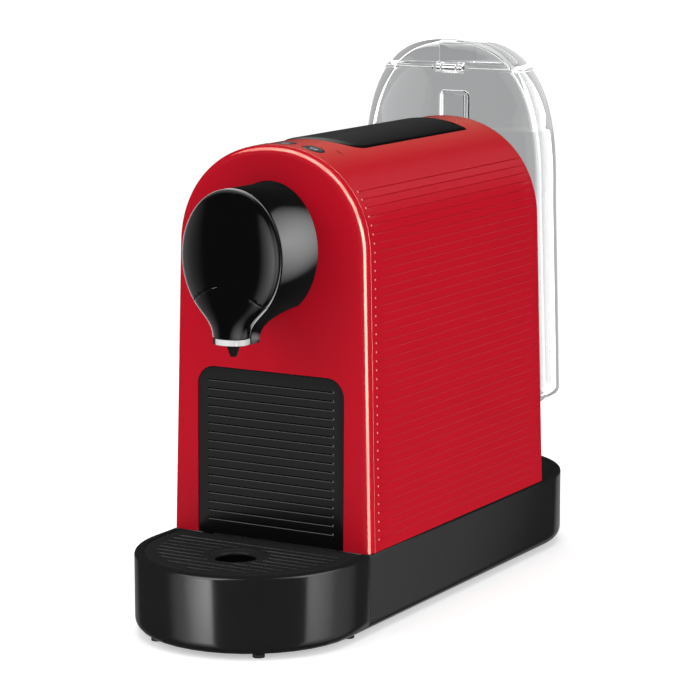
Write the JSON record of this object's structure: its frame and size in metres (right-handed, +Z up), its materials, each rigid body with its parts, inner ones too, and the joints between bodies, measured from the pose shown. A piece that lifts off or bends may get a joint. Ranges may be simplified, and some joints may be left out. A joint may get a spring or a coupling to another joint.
{
  "type": "espresso machine",
  "caption": "Slim capsule espresso machine with an arched body, domed brew head, lever lid, pull-out drip tray and a clear rear water tank.",
  "frame": {"origin": "on the surface it stands on, at the middle of the footprint", "axes": "+Z up; -Y towards the brew head and drip tray at the front, +Y towards the water tank; +X to the right of a user who faces the machine"},
  "size_m": [0.125, 0.36, 0.3022],
  "materials": {
    "red_shell": "satin gloss",
    "gloss_black": "high gloss",
    "satin_black": "satin",
    "matt_black": "fine matt",
    "chrome": "polished",
    "clear_plastic": "clear",
    "rubber": "matt",
    "silicone": "translucent matt",
    "steel": "zinc plated",
    "aluminium": "cast",
    "circuit_board": "satin",
    "grey_plastic": "satin",
    "light_lens": "frosted"
  },
  "bodies": {
    "root": {"body_shell": "red_shell", "front_panel": "red_shell", "head_housing": "gloss_black", "head_front_cap": "gloss_black", "head_spout_cover": "gloss_black", "base_shell": "satin_black", "base_bottom_plate": "satin_black", "tank_seat": "satin_black", "rear_cover": "matt_black", "coffee_spout": "matt_black", "brew_chamber": "matt_black", "capsule_guide": "matt_black", "head_trim_band": "chrome", "rubber_foot_front_left": "rubber", "rubber_foot_front_right": "rubber", "rubber_foot_middle_left": "rubber", "rubber_foot_middle_right": "rubber", "rubber_foot_rear_left": "rubber", "rubber_foot_rear_right": "rubber", "cord_gland": "rubber", "tank_seat_seal": "rubber", "pump_mount_front": "rubber", "pump_mount_rear": "rubber", "coffee_channel": "silicone", "tank_hose": "silicone", "pump_hose": "silicone", "pressure_hose": "silicone", "brew_hose": "silicone", "lever_hinge_pin": "steel", "lever_bracket": "steel", "internal_frame": "steel", "base_screw_rear_left": "steel", "base_screw_rear_right": "steel", "base_screw_side_left": "steel", "base_screw_side_right": "steel", "thermoblock": "aluminium", "control_board": "circuit_board", "button_switches": "circuit_board", "pump": "grey_plastic", "flow_meter": "grey_plastic", "status_light_lens": "light_lens"},
    "lever": {"lever_lid": "satin_black"},
    "piston": {"brew_piston": "grey_plastic", "piston_yoke": "steel"},
    "button_left": {"button_left": "matt_black"},
    "button_middle": {"button_middle": "matt_black"},
    "button_right": {"button_right": "matt_black"},
    "tray": {"drip_tray": "satin_black", "capsule_container": "matt_black", "niche_panel": "matt_black"},
    "grid": {"drip_grid": "matt_black"},
    "tank": {"water_tank": "clear_plastic", "tank_lid_pin": "steel"},
    "tank_lid": {"tank_lid": "clear_plastic"},
    "valve": {"tank_valve": "silicone"}
  },
  "joints": [
    {"name": "lever_hinge", "type": "hinge", "parent": "root", "child": "lever", "pos_m": [0, 0.0746, 0.2556], "axis": [-1, 0, 0], "range_deg": [0, 80]},
    {"name": "piston_slide", "type": "slide", "parent": "root", "child": "piston", "axis": [0, 1, 0], "range_m": [0, 0.0141]},
    {"name": "button_left_press", "type": "slide", "parent": "root", "child": "button_left", "axis": [0, 0, -1], "range_m": [0, 0.0012], "stiffness_N_per_m": 400},
    {"name": "button_middle_press", "type": "slide", "parent": "root", "child": "button_middle", "axis": [0, 0, -1], "range_m": [0, 0.0012], "stiffness_N_per_m": 400},
    {"name": "button_right_press", "type": "slide", "parent": "root", "child": "button_right", "axis": [0, 0, -1], "range_m": [0, 0.0012], "stiffness_N_per_m": 400},
    {"name": "tray_slide", "type": "slide", "parent": "root", "child": "tray", "axis": [0, -1, 0], "range_m": [0, 0.12]},
    {"name": "grid_lift", "type": "slide", "parent": "tray", "child": "grid", "axis": [0, 0, 1], "range_m": [0, 0.04]},
    {"name": "tank_lift", "type": "slide", "parent": "root", "child": "tank", "axis": [0, 0, 1], "range_m": [0, 0.06]},
    {"name": "tank_lid_hinge", "type": "hinge", "parent": "tank", "child": "tank_lid", "pos_m": [0, 0.1052, 0.28565], "axis": [1, 0, 0], "range_deg": [0, 100]},
    {"name": "valve_slide", "type": "slide", "parent": "tank", "child": "valve", "axis": [0, 0, -1], "range_m": [0, 0.0025], "stiffness_N_per_m": 100}
  ],
  "couplings": [
    {"joint": "piston_slide", "follows": "lever_hinge", "m_per_rad": 0.01}
  ]
}
